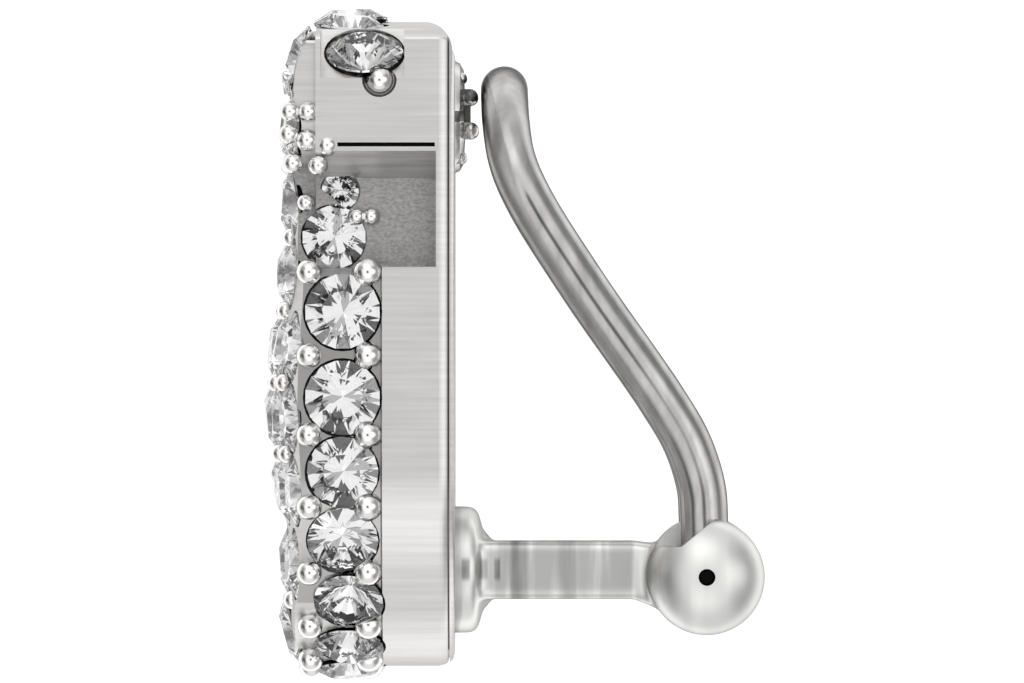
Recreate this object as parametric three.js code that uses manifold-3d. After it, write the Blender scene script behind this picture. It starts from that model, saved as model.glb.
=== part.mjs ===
// Clip-on crystal earring, modelled lying on its side. Millimetres, +Z up.
// Worn frame: X points back, away from the paved front; Y points up; Z runs across the width.
// X = 0 is the flat back, Y = 0 the middle of the height and Z = 0 the middle of the width.
import * as THREE from "three";
import { mergeVertices } from "three/addons/utils/BufferGeometryUtils.js";
import Module from "manifold-3d";

const wasm = await Module();
wasm.setup();

// Ornament: front outline
const HALF_WIDTH = 7.6; // middle to the plain side wall
const NECK_HALF_WIDTH = 6.2; // the set-back neck below the top block
const METAL_BOTTOM = -9.66;
const METAL_TOP = 9.63; // crown of the top block
const SHOULDER_TOP = 9.12; // top of the block beside its rounded corners
const BLOCK_CORNER = 1.1; // radius of those corners
const BLOCK_BASE = 5.88; // lower edge of the block's side face
const NECK_TOP = 4.89; // where the slanted underside meets the neck
const BODY_TOP = 2.25; // the ledge on top of the lower body
const BODY_CORNER = 6.0; // radius of the lower body's round corners

// Ornament: depth
const WALL_DEPTH = 2.0; // plain polished rear part of the wall
const PLATE_DEPTH = 0.39; // of the back plate, which spans the neck at full width
const CORE_DEPTH = 3.8; // metal behind the crystals
const BLOCK_DEPTH = 3.6; // plain side faces of the top block
const CROWN_DEPTH = 5.64; // the tables of the foremost crystals
const CROWN_CENTRE = -1.0; // height of the front dome's crown
const DOME = { x: 8, y: 24, z: 14.4 }; // half axes of the front dome
const TOP_ROUND = { x: 2.1, y: 2.1 }; // how the dome rolls over at the top, in the side view
const BOTTOM_ROUND = { x: 2.3, y: 1.3 }; // and at the bottom

// Crystals and beads as one paved layer
const PAVE_THICKNESS = 1.0; // on the rim
const PAVE_PROUD_SIDE = 0.12; // how far it stands out past the side walls
const PAVE_PROUD_END = 0.4; // and past the metal at the top and the bottom
const PAVE_BEVEL = 0.3; // bevel on the rim's rear edge of the paved layer
const GAP = 0.1; // between the paved layer and the metal
const ROOT = 0.5; // how far soldered pieces reach into the back

// Grip pad that presses on the ear from the front
const PAD_HEIGHT = 6.78;
const PAD_RADIUS = 1.65;
const PAD_PROUD = 0.82;
const PAD_RIDGES = 5;
const PAD_GROOVE = 0.28; // groove depth

// Hinge arm: soldered pedestal, bar and barrel
const ARM_HEIGHT = -6.8;
const BAR_THICKNESS = 1.74;
const BAR_HALF_WIDTH = 1.5;
const HINGE = { x: 7.65, y: -6.96 };
const BARREL_RADIUS = 1.74;
const BARREL_HALF_LENGTH = 5.3; // to the tips of the ball ends
const PEDESTAL = [
  { radius: 1.92, x: 0.7 },
  { radius: 1.74, x: 0.84 },
  { radius: 1.3, x: 0.88 },
  { radius: 1.05, x: 0.98 },
  { radius: 0.84, x: 1.25 },
];
const BAR_START = 0.82; // inside the pedestal
const KNUCKLE_HALF_WIDTH = 2.35; // solid middle of the barrel, between the wire's legs
const FLARE_START = 5.6; // where the bar begins to widen into the barrel
const FLARE_BEND = 6.1; // where the flare's curve turns
const KNUCKLE_START = 6.8; // from here back the arm is as wide as the knuckle
const FLARE_MEETS = 2.1; // radians round from the back, where the flare meets the barrel

// Wire loop and its pin
const WIRE_RADIUS = 0.71;
const LEG_HALF_SPACING = 3.2; // at the hinge
const LOOP_RADIUS = 3.5; // half width of the loop and radius of its round top
const RUNNING_GAP = 0.14; // beside the legs in the barrel's slots
const EYE_RADIUS = 0.92;
const EYE_BORE = 0.32;
const PIN_RADIUS = 0.2;
const PIN_BORE = 0.27;
const PIN_RECESS = 0.45; // from the tips of the ball ends to the pin's ends
const CHEEK_EDGE = [
  { x: 6.9, y: -6.06 },
  { x: 7.92, y: -5.22 },
];
const CHEEK_CUT_START = 4.0; // the cut opens forward to here

// Side view of the wire's centreline, from the hinge to the tip of the loop
const WIRE_COURSE = [
  { x: 7.62, y: -6.2 },
  { x: 7.6, y: -5.3 },
  { x: 7.53, y: -4.32 },
  { x: 7.11, y: -3.0 },
  { x: 6.36, y: -1.71 },
  { x: 4.01, y: 1.68 },
  { x: 2.37, y: 4.29 },
  { x: 1.86, y: 5.49 },
  { x: 1.68, y: 6.6 },
  { x: 1.63, y: 7.6 },
];

const FACETS = 24; // sides of small round pieces
const FAR = 30; // cutting blocks reach past everything

const silver = (colour, roughness) =>
  new THREE.MeshStandardMaterial({ color: colour, roughness, metalness: 1 });
const finishes = {
  setting: silver(0xcbc9c5, 0.25),
  pave: new THREE.MeshStandardMaterial({ color: 0xf2f3f2, roughness: 0.05, metalness: 0 }),
  wire: silver(0xa8a8a6, 0.15),
  pin: silver(0x8a8a86, 0.4),
};

// A closed geometry as a manifold solid, and back
function solid(geometry) {
  const bare = geometry.clone();
  bare.deleteAttribute("normal");
  bare.deleteAttribute("uv");
  const merged = mergeVertices(bare, 1e-5);
  return new wasm.Manifold(
    new wasm.Mesh({
      numProp: 3,
      vertProperties: new Float32Array(merged.attributes.position.array),
      triVerts: new Uint32Array(merged.index.array),
    }),
  );
}

function namedMesh(name, manifold, material) {
  const { vertProperties, triVerts } = manifold.getMesh();
  const geometry = new THREE.BufferGeometry();
  geometry.setAttribute("position", new THREE.BufferAttribute(vertProperties, 3));
  geometry.setIndex(new THREE.BufferAttribute(triVerts, 1));
  const mesh = new THREE.Mesh(geometry, material);
  mesh.name = name;
  return mesh;
}

const union = (...solids) => solids.reduce((a, b) => a.add(b));

function block(x0, x1, y0, y1, z0, z1) {
  const box = new THREE.BoxGeometry(x1 - x0, y1 - y0, z1 - z0);
  return solid(box.translate((x0 + x1) / 2, (y0 + y1) / 2, (z0 + z1) / 2));
}

// A shape drawn across the width and up, extruded back from x0 to x1
function slab(shape, x0, x1, bevel = 0) {
  const depth = x1 - x0 - 2 * bevel;
  const geometry = new THREE.ExtrudeGeometry(shape, {
    depth,
    curveSegments: 16,
    bevelEnabled: bevel > 0,
    bevelSize: bevel,
    bevelThickness: bevel,
    bevelOffset: -bevel,
    bevelSegments: 2,
  });
  return solid(geometry.rotateY(Math.PI / 2).translate(x0 + bevel, 0, 0));
}

// A shape drawn in the side view, extruded across the width to both sides
function crosswise(shape, halfWidth) {
  const geometry = new THREE.ExtrudeGeometry(shape, {
    depth: 2 * halfWidth,
    curveSegments: 12,
    bevelEnabled: false,
  });
  return solid(geometry.translate(0, 0, -halfWidth));
}

// A profile of radius and distance, turned about an axis along X at the given height
function turnedAlongX(profile, height, segments = FACETS) {
  const points = profile.map(({ radius, x }) => new THREE.Vector2(radius, x));
  const geometry = new THREE.LatheGeometry(points, segments);
  return solid(geometry.rotateZ(-Math.PI / 2).translate(0, height, 0));
}

function cylinderAcross(radius, z0, z1, segments = FACETS) {
  const geometry = new THREE.CylinderGeometry(radius, radius, z1 - z0, segments);
  return solid(geometry.rotateX(Math.PI / 2).translate(HINGE.x, HINGE.y, (z0 + z1) / 2));
}

// Front outline of the ornament. Positive offsets grow it at the sides and at both ends.
function outline(side, end) {
  const wide = HALF_WIDTH + side;
  const neck = NECK_HALF_WIDTH + side;
  const bottom = METAL_BOTTOM - end;
  const cornerTop = METAL_BOTTOM + BODY_CORNER;
  const shape = new THREE.Shape();
  const flat = HALF_WIDTH - BODY_CORNER;
  shape.moveTo(-flat, bottom);
  shape.lineTo(flat, bottom);
  shape.absellipse(flat, cornerTop, wide - flat, cornerTop - bottom, -Math.PI / 2, 0, false);
  shape.lineTo(wide, BODY_TOP + side);
  shape.lineTo(neck, BODY_TOP + side);
  shape.lineTo(neck, NECK_TOP - side);
  shape.lineTo(wide, BLOCK_BASE - side);
  const cornerX = HALF_WIDTH - BLOCK_CORNER;
  const cornerY = SHOULDER_TOP - BLOCK_CORNER;
  const across = wide - cornerX;
  const up = SHOULDER_TOP + end - cornerY;
  shape.lineTo(wide, cornerY);
  shape.absellipse(cornerX, cornerY, across, up, 0, Math.PI / 2, false);
  const crown = 2 * (METAL_TOP + end) - (SHOULDER_TOP + end);
  shape.quadraticCurveTo(0, crown, -cornerX, SHOULDER_TOP + end);
  shape.absellipse(-cornerX, cornerY, across, up, Math.PI / 2, Math.PI, false);
  shape.lineTo(-wide, BLOCK_BASE - side);
  shape.lineTo(-neck, NECK_TOP - side);
  shape.lineTo(-neck, BODY_TOP + side);
  shape.lineTo(-wide, BODY_TOP + side);
  shape.lineTo(-wide, cornerTop);
  shape.absellipse(-flat, cornerTop, wide - flat, cornerTop - bottom, Math.PI, 1.5 * Math.PI, false);
  return shape;
}

// Room for the block's plain side faces, which reach forward of the rear wall
function blockSides(clearance) {
  const top = SHOULDER_TOP - BLOCK_CORNER + clearance;
  const inner = NECK_HALF_WIDTH - clearance;
  return union(
    block(-BLOCK_DEPTH - clearance, 0, NECK_TOP - clearance, top, inner, FAR),
    block(-BLOCK_DEPTH - clearance, 0, NECK_TOP - clearance, top, -FAR, -inner),
  );
}

// Cast metal of the ornament: a plain rear wall, a core behind the crystals, the block's plain
// side faces and the back plate. The clearance grows its front, to cut the paved layer by it.
function castBody(clearance) {
  const inset = clearance - PAVE_THICKNESS;
  const wall = slab(outline(0, 0), -WALL_DEPTH - clearance, 0);
  const core = slab(outline(inset, inset), -CORE_DEPTH - clearance, -WALL_DEPTH / 2);
  const sides = slab(outline(0, 0), -CORE_DEPTH, 0).intersect(blockSides(clearance));
  const plate = block(-PLATE_DEPTH, 0, BODY_TOP, BLOCK_BASE, -HALF_WIDTH, HALF_WIDTH);
  return union(wall, core, sides, plate);
}

// Serrated round pad: a low dome crossed by level grooves
function gripPad() {
  const dome = turnedAlongX(
    [
      { radius: 0, x: -ROOT },
      { radius: PAD_RADIUS, x: -ROOT },
      { radius: PAD_RADIUS, x: 0.4 * PAD_PROUD },
      { radius: 0.85 * PAD_RADIUS, x: 0.72 * PAD_PROUD },
      { radius: 0.5 * PAD_RADIUS, x: 0.95 * PAD_PROUD },
      { radius: 0, x: PAD_PROUD },
    ],
    PAD_HEIGHT,
    32,
  );
  const pitch = (2 * PAD_RADIUS) / PAD_RIDGES;
  const grooves = [];
  for (let i = 1; i < PAD_RIDGES; i++) {
    const y = PAD_HEIGHT - PAD_RADIUS + i * pitch;
    const reach = Math.sqrt(PAD_RADIUS ** 2 - (y - PAD_HEIGHT) ** 2);
    const crest = PAD_PROUD * (0.45 + (0.55 * reach) / PAD_RADIUS);
    const notch = new THREE.Shape();
    notch.moveTo(crest - PAD_GROOVE, y);
    notch.lineTo(2 * PAD_PROUD, y - 0.5 * pitch);
    notch.lineTo(2 * PAD_PROUD, y + 0.5 * pitch);
    grooves.push(crosswise(notch, 2 * PAD_RADIUS));
  }
  return dome.subtract(union(...grooves));
}

// Round pedestal soldered to the back, with a hollow shoulder down to the bar
function pedestal() {
  const foot = { radius: PEDESTAL[0].radius, x: -ROOT };
  const ends = [-ROOT, PEDESTAL.at(-1).x].map((x) => ({ radius: 0, x }));
  return turnedAlongX([ends[0], foot, ...PEDESTAL, ends[1]], ARM_HEIGHT, 32);
}

// Side view of the bar, which widens into a round end about the hinge
function armShape() {
  const top = ARM_HEIGHT + BAR_THICKNESS / 2;
  const bottom = ARM_HEIGHT - BAR_THICKNESS / 2;
  const meets = {
    x: HINGE.x + BARREL_RADIUS * Math.cos(FLARE_MEETS),
    y: HINGE.y - BARREL_RADIUS * Math.sin(FLARE_MEETS),
  };
  const shape = new THREE.Shape();
  shape.moveTo(BAR_START, bottom);
  shape.lineTo(FLARE_START, bottom);
  shape.quadraticCurveTo(FLARE_BEND, bottom, meets.x, meets.y);
  shape.absarc(HINGE.x, HINGE.y, BARREL_RADIUS, -FLARE_MEETS, FLARE_MEETS, false);
  shape.quadraticCurveTo(FLARE_BEND, top, FLARE_START, top);
  shape.lineTo(BAR_START, top);
  return shape;
}

// Barrel across the end of the bar, with a ball outside each leg's slot
function barrel() {
  const straight = LEG_HALF_SPACING + WIRE_RADIUS + RUNNING_GAP;
  const ball = BARREL_HALF_LENGTH - straight;
  const profile = [new THREE.Vector2(0, -BARREL_HALF_LENGTH)];
  const quarter = 8;
  for (let i = 1; i <= quarter; i++) {
    const angle = (i / quarter) * (Math.PI / 2);
    const z = -straight - ball * Math.cos(angle);
    profile.push(new THREE.Vector2(BARREL_RADIUS * Math.sin(angle), z));
  }
  const mirrored = profile.map((point) => new THREE.Vector2(point.x, -point.y)).reverse();
  const geometry = new THREE.LatheGeometry([...profile, ...mirrored], 40);
  return solid(geometry.rotateX(Math.PI / 2).translate(HINGE.x, HINGE.y, 0));
}

// Room for one leg of the wire: round its eye, and open from upright to lying straight back
function legSlot(end) {
  const half = WIRE_RADIUS + RUNNING_GAP;
  const [z0, z1] = [end * LEG_HALF_SPACING - half, end * LEG_HALF_SPACING + half];
  const left = WIRE_COURSE[0].x - half;
  return union(
    cylinderAcross(EYE_RADIUS + RUNNING_GAP, z0, z1),
    block(left, FAR, HINGE.y, FAR, z0, z1),
    block(HINGE.x, FAR, HINGE.y - half, FAR, z0, z1),
  );
}

// The ball ends are sliced off along a slanting plane above the slots
function cheekCut(end) {
  const [low, high] = CHEEK_EDGE;
  const slice = new THREE.Shape();
  slice.moveTo(low.x, low.y);
  slice.lineTo(high.x, high.y);
  slice.lineTo(high.x, 0);
  slice.lineTo(CHEEK_CUT_START, 0);
  slice.lineTo(CHEEK_CUT_START, low.y);
  const inner = LEG_HALF_SPACING - WIRE_RADIUS - RUNNING_GAP;
  const depth = BARREL_HALF_LENGTH;
  const geometry = new THREE.ExtrudeGeometry(slice, { depth, bevelEnabled: false });
  return solid(geometry.translate(0, 0, end > 0 ? inner : -inner - depth));
}

function setting() {
  const arm = crosswise(armShape(), KNUCKLE_HALF_WIDTH);
  const narrow = union(
    block(KNUCKLE_START, FAR, -FAR, FAR, -FAR, FAR),
    block(-FAR, FAR, -FAR, FAR, -BAR_HALF_WIDTH, BAR_HALF_WIDTH),
  );
  const metal = union(castBody(0), gripPad(), pedestal(), arm.intersect(narrow), barrel());
  const ends = [-1, 1];
  const cuts = ends.flatMap((end) => [legSlot(end), cheekCut(end)]);
  const bore = cylinderAcross(PIN_BORE, -FAR, FAR, 16);
  return metal.subtract(union(...cuts, bore));
}

// Side view that rounds the paved front at its top and bottom
function rollShape() {
  const top = METAL_TOP + PAVE_PROUD_END;
  const bottom = METAL_BOTTOM - PAVE_PROUD_END;
  const over = { x: TOP_ROUND.x - CROWN_DEPTH, y: top - TOP_ROUND.y };
  const under = { x: BOTTOM_ROUND.x - CROWN_DEPTH, y: bottom + BOTTOM_ROUND.y };
  const shape = new THREE.Shape();
  shape.moveTo(0, bottom);
  shape.lineTo(0, top);
  shape.absellipse(over.x, over.y, TOP_ROUND.x, TOP_ROUND.y, Math.PI / 2, Math.PI, false);
  shape.absellipse(under.x, under.y, BOTTOM_ROUND.x, BOTTOM_ROUND.y, Math.PI, 1.5 * Math.PI, false);
  return shape;
}

// The paved layer: a domed front and a band round the rim, beveled at its edges
function pavedLayer() {
  const rim = outline(PAVE_PROUD_SIDE, PAVE_PROUD_END);
  const full = slab(rim, -CROWN_DEPTH, -WALL_DEPTH - GAP, PAVE_BEVEL);
  const ball = new THREE.SphereGeometry(1, 96, 64).scale(DOME.x, DOME.y, DOME.z);
  const dome = solid(ball).translate(DOME.x - CROWN_DEPTH, CROWN_CENTRE, 0);
  const roll = crosswise(rollShape(), FAR);
  return full.intersect(dome).intersect(roll).subtract(castBody(GAP)).subtract(blockSides(GAP));
}

// The loop's centreline: up one leg, round the top and down the other leg
class LoopCurve extends THREE.Curve {
  constructor() {
    super();
    const points = WIRE_COURSE.map(({ x, y }) => new THREE.Vector3(x, y, 0));
    this.course = new THREE.CatmullRomCurve3(points, false, "centripetal");
    this.reach = this.course.getLength();
    this.straight = this.reach - LOOP_RADIUS;
    this.total = 2 * this.straight + Math.PI * LOOP_RADIUS;
  }
  getPoint(t, target = new THREE.Vector3()) {
    const along = t * this.total;
    const fromNearEnd = Math.min(along, this.total - along);
    const side = along < this.total / 2 ? 1 : -1;
    let travelled = fromNearEnd;
    let spacing = LOOP_RADIUS;
    if (fromNearEnd > this.straight) {
      const angle = (fromNearEnd - this.straight) / LOOP_RADIUS;
      travelled = this.straight + LOOP_RADIUS * Math.sin(angle);
      spacing = LOOP_RADIUS * Math.cos(angle);
    } else {
      const ease = THREE.MathUtils.smoothstep(travelled, 1, this.straight * 0.6);
      spacing = THREE.MathUtils.lerp(LEG_HALF_SPACING, LOOP_RADIUS, ease);
    }
    this.course.getPointAt(Math.min(travelled / this.reach, 1), target);
    target.z = side * spacing;
    return target;
  }
}

function wireLoop() {
  const section = new THREE.Shape();
  section.absarc(0, 0, WIRE_RADIUS, 0, 2 * Math.PI, false);
  const tube = new THREE.ExtrudeGeometry(section, {
    steps: 84,
    curveSegments: 7,
    extrudePath: new LoopCurve(),
  });
  const eyes = [-1, 1].map((end) => {
    const middle = end * LEG_HALF_SPACING;
    return cylinderAcross(EYE_RADIUS, middle - WIRE_RADIUS, middle + WIRE_RADIUS);
  });
  return union(solid(tube), ...eyes).subtract(cylinderAcross(EYE_BORE, -FAR, FAR, 16));
}

function hingePin() {
  const half = BARREL_HALF_LENGTH - PIN_RECESS;
  return cylinderAcross(PIN_RADIUS, -half, half, 12);
}

const earring = new THREE.Group();
earring.add(
  namedMesh("setting", setting(), finishes.setting),
  namedMesh("crystal_pave", pavedLayer(), finishes.pave),
  namedMesh("omega_wire", wireLoop(), finishes.wire),
  namedMesh("hinge_pin", hingePin(), finishes.pin),
);

// The origin is the middle of the lying earring's underside
const box = new THREE.Box3().setFromObject(earring, true);
const middle = box.getCenter(new THREE.Vector3());
earring.position.set(-middle.x, -middle.y, -box.min.z);

export default earring;
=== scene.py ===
# Clip-on crystal earring lying on its side, seen from straight above.
# Sizes are millimetres in the worn frame: X points back from the paved front, Y points up,
# Z runs across the width, and the plain flat back is X = 0.
import math

import bmesh
import bpy
import numpy as np
from mathutils import Matrix, Vector


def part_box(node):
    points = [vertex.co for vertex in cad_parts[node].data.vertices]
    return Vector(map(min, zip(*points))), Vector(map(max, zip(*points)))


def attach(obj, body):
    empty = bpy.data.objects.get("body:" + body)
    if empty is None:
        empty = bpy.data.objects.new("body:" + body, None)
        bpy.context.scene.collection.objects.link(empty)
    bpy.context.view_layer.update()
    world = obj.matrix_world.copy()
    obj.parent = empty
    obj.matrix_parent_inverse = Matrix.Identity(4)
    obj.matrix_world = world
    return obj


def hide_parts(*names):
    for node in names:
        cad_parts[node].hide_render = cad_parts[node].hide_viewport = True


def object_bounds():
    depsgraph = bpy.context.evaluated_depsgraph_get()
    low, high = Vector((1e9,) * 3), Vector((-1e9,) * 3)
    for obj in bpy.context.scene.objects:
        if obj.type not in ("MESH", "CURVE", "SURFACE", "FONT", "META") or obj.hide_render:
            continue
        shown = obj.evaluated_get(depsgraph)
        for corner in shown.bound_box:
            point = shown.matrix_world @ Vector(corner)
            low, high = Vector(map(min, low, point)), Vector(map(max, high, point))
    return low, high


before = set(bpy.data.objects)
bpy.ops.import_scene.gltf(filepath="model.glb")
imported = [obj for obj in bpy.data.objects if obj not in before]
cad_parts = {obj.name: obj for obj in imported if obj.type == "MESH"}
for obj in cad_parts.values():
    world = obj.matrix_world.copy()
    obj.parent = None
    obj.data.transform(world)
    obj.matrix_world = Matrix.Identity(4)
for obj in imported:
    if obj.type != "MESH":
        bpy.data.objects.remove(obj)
cad_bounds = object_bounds()


# --- Camera, floor and light -------------------------------------------------
# The earring lies on a pale light table, which glows under it. A tent of soft white light
# stands round it, with brighter panels, dark cards and an opening overhead for the lens.

MM = 0.001
LENS_HEIGHT = 500 * MM
LENS_OFFSET = (-0.015 * MM, 0.06 * MM)  # from the earring's middle
LENS_REACH = 10.0
FRAME_WIDTH = 30.25 * MM  # of what the lens sees at the top of the earring
SENSOR = 36.0

earring_middle = [(low + high) / 2 for low, high in zip(*cad_bounds)]
camera_data = bpy.data.cameras.new("camera")
camera_data.sensor_width = SENSOR
camera_data.lens = SENSOR * (LENS_HEIGHT - cad_bounds[1][2]) / FRAME_WIDTH
camera_data.clip_end = LENS_REACH
camera = bpy.data.objects.new("camera", camera_data)
camera.location = (
    earring_middle[0] + LENS_OFFSET[0],
    earring_middle[1] + LENS_OFFSET[1],
    LENS_HEIGHT,
)
bpy.context.scene.collection.objects.link(camera)
bpy.context.scene.camera = camera


class Shade:
    """A shader value. Arithmetic on it adds Math nodes to its tree."""

    def __init__(self, tree, value):
        self.tree, self.value = tree, value

    def _math(self, operation, first, second=0.0):
        settings, sockets = {"operation": operation}, {0: first, 1: second}
        return add_node(self.tree, "ShaderNodeMath", settings, sockets)["Value"]

    def __add__(self, other):
        return self._math("ADD", self, other)

    __radd__ = __add__

    def __sub__(self, other):
        return self._math("SUBTRACT", self, other)

    def __rsub__(self, other):
        return self._math("SUBTRACT", other, self)

    def __mul__(self, other):
        return self._math("MULTIPLY", self, other)

    __rmul__ = __mul__

    def __truediv__(self, other):
        return self._math("DIVIDE", self, other)

    def __abs__(self):
        return self._math("ABSOLUTE", self)

    def between(self, low, high):
        """0 below low, 1 above high, and smooth in between."""
        sockets = {"Value": self, "From Min": low, "From Max": high}
        settings = {"interpolation_type": "SMOOTHSTEP"}
        return add_node(self.tree, "ShaderNodeMapRange", settings, sockets)["Result"]


def plug(tree, item, socket):
    if isinstance(item, Shade):
        tree.links.new(item.value, socket)
    else:
        socket.default_value = item


def add_node(tree, kind, settings=None, sockets=None):
    """Adds any node: its settings first, then the values or links of its sockets."""
    node = tree.nodes.new(kind)
    for name, value in (settings or {}).items():
        setattr(node, name, value)
    for name, value in (sockets or {}).items():
        plug(tree, value, node.inputs[name])
    return {s.name: Shade(tree, s) for s in node.outputs if s.enabled}


NEUTRAL = (1.0, 1.0, 1.0)


def grey(level, cast=NEUTRAL):
    """A grey, with a slight cast of red, green and blue."""
    return (*(level * share for share in cast), 1.0)


def varied_grey(tree, tone, cast=NEUTRAL):
    """The same from a tone that varies."""
    parts = zip(("Red", "Green", "Blue"), cast)
    sockets = {name: tone if share == 1.0 else tone * share for name, share in parts}
    return add_node(tree, "ShaderNodeCombineColor", None, sockets)["Color"]


def new_material(name, **values):
    """A material, its tree and its shader, with the sockets that are the same all over."""
    material = bpy.data.materials.new(name)
    material.use_nodes = True
    shader = material.node_tree.nodes["Principled BSDF"]
    for label, value in values.items():
        shader.inputs[label.replace("_", " ")].default_value = value
    return material, material.node_tree, shader


TENT_LEVEL = 0.32
PANELS = (  # brightness, azimuth, height, and the angles within which it is full and past which none
    (0.66, 0, 90, 30, 62), (0.5, 90, 10, 25, 55), (0.6, 5, 40, 8, 24),
    (0.35, 100, 40, 12, 30), (0.6, 200, 12, 5, 14), (0.45, 270, 20, 18, 50),
)
DARK_CARDS = (  # the share of the light that each takes, and the same
    (0.7, 188, 22, 12, 28), (0.97, 0, 90, 6.5, 10.5),
)

world = bpy.data.worlds.new("light_tent")
world.use_nodes = True
bpy.context.scene.world = world
tent = world.node_tree
towards = add_node(tent, "ShaderNodeTexCoord")["Generated"]


def patch(azimuth, height, inner, outer):
    """A soft round patch of the tent, in degrees: 1 inside the inner angle, 0 past the outer."""
    turn, lift = math.radians(azimuth), math.radians(height)
    centre = (math.cos(turn) * math.cos(lift), math.sin(turn) * math.cos(lift), math.sin(lift))
    sockets = {0: towards, 1: centre}
    nearness = add_node(tent, "ShaderNodeVectorMath", {"operation": "DOT_PRODUCT"}, sockets)["Value"]
    return nearness.between(math.cos(math.radians(outer)), math.cos(math.radians(inner)))


level = TENT_LEVEL
for strength, *place in PANELS:
    level = level + strength * patch(*place)
for strength, *place in DARK_CARDS:
    level = level * (1 - strength * patch(*place))
plug(tent, varied_grey(tent, level), tent.nodes["Background"].inputs["Color"])

bpy.context.scene.view_settings.view_transform = "Standard"

FLOOR_HALF = 900 * MM
GLOW = 0.62  # of the table under the earring
GLOW_EDGE = (19 * MM, 70 * MM)  # where it begins to fade, and where it ends
floor_mesh = bpy.data.meshes.new("floor")
corners = [(x * FLOOR_HALF, y * FLOOR_HALF, 0) for x, y in ((-1, -1), (1, -1), (1, 1), (-1, 1))]
floor_mesh.from_pydata(corners, [], [(0, 1, 2, 3)])
floor = bpy.data.objects.new("floor", floor_mesh)
bpy.context.scene.collection.objects.link(floor)
floor_paint, floor_tree, floor_shader = new_material(
    "floor_paint", Base_Color=grey(0.9), Roughness=0.9, Specular_IOR_Level=0.0, Emission_Strength=1.0
)
on_floor = add_node(floor_tree, "ShaderNodeTexCoord")["Object"]
reach = add_node(floor_tree, "ShaderNodeVectorMath", {"operation": "LENGTH"}, {0: on_floor})["Value"]
glow = varied_grey(floor_tree, GLOW * (1 - reach.between(*GLOW_EDGE)))
plug(floor_tree, glow, floor_shader.inputs["Emission Color"])
floor_mesh.materials.append(floor_paint)


# --- Cast ornament -----------------------------------------------------------
# One plated casting: a flat back, a plain satin wall round the rear half of the rim, a top
# block with plain sides, a set-back neck and a round-bottomed body. A shallow channel round
# the rim and a gentle dome on the front are drilled for the crystals.

HALF_WIDTH = 7.6
NECK_HALF_WIDTH = 6.2
METAL_BOTTOM = -9.66
METAL_TOP = 9.63
SHOULDER_TOP = 9.12
BLOCK_CORNER = 0.16
BLOCK_BASE = 5.68
NECK_TOP = 4.89
BODY_TOP = 2.25
BODY_CORNER = 6.0
BEND_TOP = METAL_BOTTOM + BODY_CORNER  # where the round bottom meets the straight sides
BOTTOM_FLAT = HALF_WIDTH - BODY_CORNER  # half the level part of the bottom
WALL_DEPTH = 1.98
CHANNEL_FRONT = 4.35
REAR_X = -0.3
CROWN_HEIGHT = 0.32  # of a crystal, from girdle to table
GIRDLE_SHOW = 0.1  # girdle above the metal
PROUD_SIDE = 0.1  # tables above the metal, at the sides
PROUD_END = 0.4  # and at the top and the bottom

pin_low, pin_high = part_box("hinge_pin")
HINGE = Vector((7.65, -6.96, 0.0))
worn_origin = (pin_low + pin_high) / 2 - HINGE * MM
TO_ROW = Matrix.Translation(worn_origin) @ Matrix.Scale(MM, 4)


def proud(normal_y):
    """How far the tables stand out past the metal of the rim."""
    return PROUD_SIDE + (PROUD_END - PROUD_SIDE) * normal_y * normal_y


def arc(centre, radius, start, end, steps):
    turns = np.radians(np.linspace(start, end, steps + 1))
    return [(centre[0] + radius * math.cos(t), centre[1] + radius * math.sin(t)) for t in turns]


def half_outline():
    """Right half of the front outline from bottom to top: (z, y, whether the rim is paved)."""
    body = [(0.0, METAL_BOTTOM)]
    body += arc((BOTTOM_FLAT, BEND_TOP), BODY_CORNER, -90, 0, 40)
    body += [(HALF_WIDTH, BODY_TOP), (NECK_HALF_WIDTH, BODY_TOP), (NECK_HALF_WIDTH, NECK_TOP)]
    corner = (HALF_WIDTH - BLOCK_CORNER, SHOULDER_TOP - BLOCK_CORNER)
    block = [(HALF_WIDTH, BLOCK_BASE)] + arc(corner, BLOCK_CORNER, 0, 90, 12)
    fall = METAL_TOP - SHOULDER_TOP
    shares = np.linspace(1, 0, 13)[1:]
    crown = [(share * corner[0], METAL_TOP - fall * share * share) for share in shares]
    paved = [True] * (len(body) - 2) + [False] * (len(block) + 2) + [True] * len(crown)
    return [(z, y, p) for (z, y), p in zip(body + block + crown, paved)]


def whole_outline():
    half = half_outline()
    return half + [(-z, y, p) for z, y, p in reversed(half[1:-1])]


SHARPEST = 0.3  # keeps a mitre from running away


def mitred(outline, inset):
    """The outline moved inwards by inset at each corner, keeping its sides parallel."""
    moved = []
    count = len(outline)
    for i in range(count):
        before, here, after = (Vector(outline[j % count][:2]) for j in (i - 1, i, i + 1))
        a, b = (here - before).normalized(), (after - here).normalized()
        bisector = Vector((-(a.y + b.y), a.x + b.x))
        scale = inset[i] / max(SHARPEST, 0.5 * bisector.length_squared)
        moved.append(here + bisector * scale)
    return moved


def outline_normals(outline):
    normals = []
    for before, after in zip(outline[-1:] + outline[:-1], outline[1:] + outline[:1]):
        a = Vector(after[:2]) - Vector(before[:2])
        normals.append(Vector((a.y, -a.x)).normalized())
    return normals


def mesh_object(name, points, faces):
    mesh = bpy.data.meshes.new(name)
    mesh.from_pydata([tuple(p) for p in points], [], faces)
    made = bpy.data.objects.new(name, mesh)
    bpy.context.scene.collection.objects.link(made)
    return made


WELD = 1e-5  # points nearer than this are merged


def recalculated(made):
    work = bmesh.new()
    work.from_mesh(made.data)
    bmesh.ops.remove_doubles(work, verts=work.verts, dist=WELD)
    bmesh.ops.dissolve_degenerate(work, edges=work.edges, dist=WELD)
    bmesh.ops.recalc_face_normals(work, faces=work.faces)
    work.to_mesh(made.data)
    work.free()
    return made


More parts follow.
